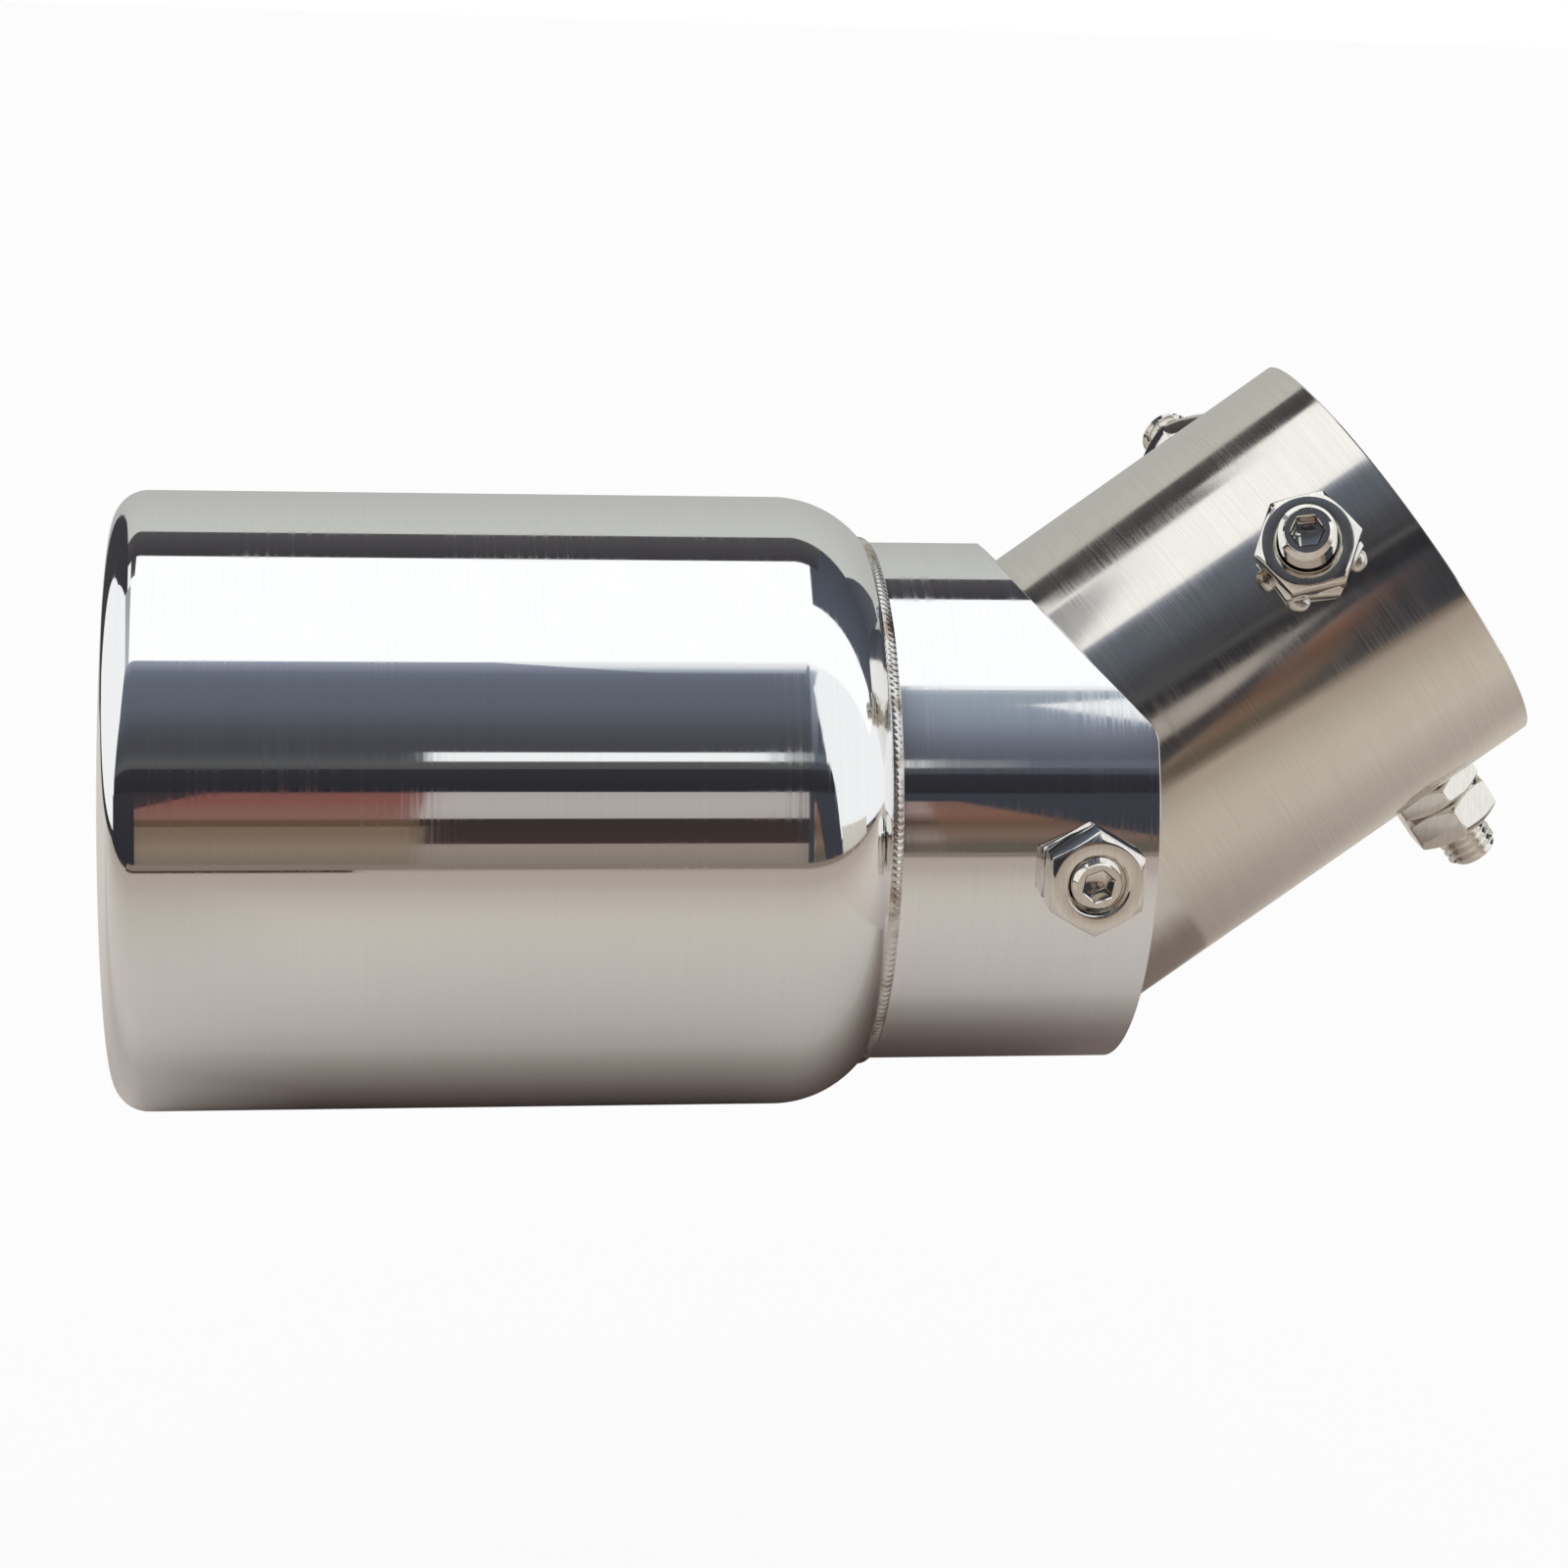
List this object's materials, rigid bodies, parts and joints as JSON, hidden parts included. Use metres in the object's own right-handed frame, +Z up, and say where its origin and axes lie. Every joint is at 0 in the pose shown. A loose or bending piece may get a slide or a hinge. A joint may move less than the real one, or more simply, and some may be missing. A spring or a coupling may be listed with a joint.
{
  "type": "exhaust tip",
  "caption": "Polished rolled-lip exhaust tip whose barrel and collar swing on pivot screws about an inlet pipe that set screws with lock nuts clamp to a tail pipe.",
  "frame": {"origin": "centre of the pivot axis, where it crosses the axes of the barrel and of the inlet pipe's bore", "axes": "+X runs along the barrel from its mouth towards the inlet, +Y runs along the pivot axis to the left side, +Z is up, as the tip hangs on a car"},
  "size_m": [0.2058, 0.089, 0.1092],
  "materials": {
    "polished_stainless": "mirror polished",
    "satin_stainless": "satin",
    "bright_hardware": "bright plated",
    "weld_metal": "as welded"
  },
  "bodies": {
    "inlet": {"inlet_pipe": "satin_stainless", "clamp_nut_right": "bright_hardware", "clamp_nut_left": "bright_hardware", "clamp_nut_lower": "bright_hardware", "clamp_nut_weld_right": "weld_metal", "clamp_nut_weld_left": "weld_metal", "clamp_nut_weld_lower": "weld_metal", "lock_nut_right": "bright_hardware", "lock_nut_left": "bright_hardware", "lock_nut_lower": "bright_hardware", "pivot_nut_right": "bright_hardware", "pivot_nut_left": "bright_hardware", "pivot_nut_weld_right": "weld_metal", "pivot_nut_weld_left": "weld_metal", "pivot_lock_nut_right": "bright_hardware", "pivot_lock_nut_left": "bright_hardware", "pivot_screw_right": "bright_hardware", "pivot_screw_left": "bright_hardware"},
    "tip": {"barrel": "polished_stainless", "collar": "polished_stainless", "barrel_weld": "weld_metal"},
    "right_clamp_screw": {"clamp_screw_right": "bright_hardware"},
    "left_clamp_screw": {"clamp_screw_left": "bright_hardware"},
    "lower_clamp_screw": {"clamp_screw_lower": "bright_hardware"}
  },
  "joints": [
    {"name": "bend_pivot", "type": "hinge", "parent": "inlet", "child": "tip", "pos_m": [0, 0, 0], "axis": [0, -1, 0], "range_deg": [0, 52.5]},
    {"name": "right_screw_travel", "type": "slide", "parent": "inlet", "child": "right_clamp_screw", "axis": [0.2981, 0.866, -0.4014], "range_m": [0, 0.0055]},
    {"name": "left_screw_travel", "type": "slide", "parent": "inlet", "child": "left_clamp_screw", "axis": [0.2981, -0.866, -0.4014], "range_m": [0, 0.0055]},
    {"name": "lower_screw_travel", "type": "slide", "parent": "inlet", "child": "lower_clamp_screw", "axis": [-0.5962, 0, 0.8028], "range_m": [0, 0.0055]}
  ]
}
